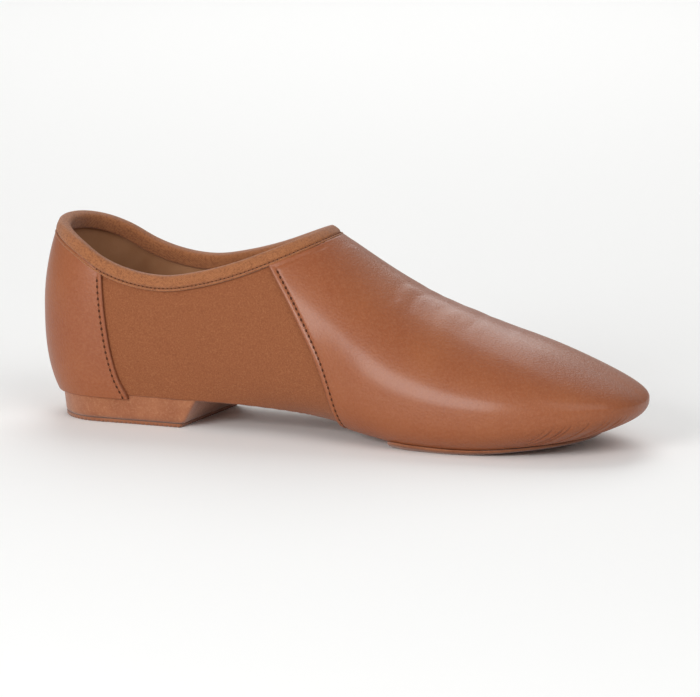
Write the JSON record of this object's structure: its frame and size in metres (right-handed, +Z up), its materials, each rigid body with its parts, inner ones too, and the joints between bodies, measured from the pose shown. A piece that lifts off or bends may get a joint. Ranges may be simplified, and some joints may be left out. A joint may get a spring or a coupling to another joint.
{
  "type": "jazz shoe",
  "caption": "Left slip-on jazz dance shoe with leather vamp and heel counter over a stretch sock, elastic collar binding, low suede heel and separate suede forefoot sole.",
  "frame": {"origin": "on the floor, under the centre of the shoe's bounding box", "axes": "+X towards the toe, +Y towards the outer side of the left foot, +Z up"},
  "size_m": [0.245, 0.084, 0.0781],
  "materials": {
    "stretch_fabric": "matte tan stretch fabric",
    "leather": "soft tan leather with a low sheen",
    "elastic": "matte tan folded elastic",
    "lining": "matte tan lining",
    "suede": "matte tan suede",
    "heel_sheet": "matte tan suede over a thin base"
  },
  "bodies": {
    "root": {"upper": "stretch_fabric", "vamp": "leather", "heel_counter": "leather", "collar_binding": "elastic", "insole": "lining", "forefoot_sole": "suede", "heel_block": "suede", "heel_sole": "heel_sheet"}
  },
  "joints": []
}
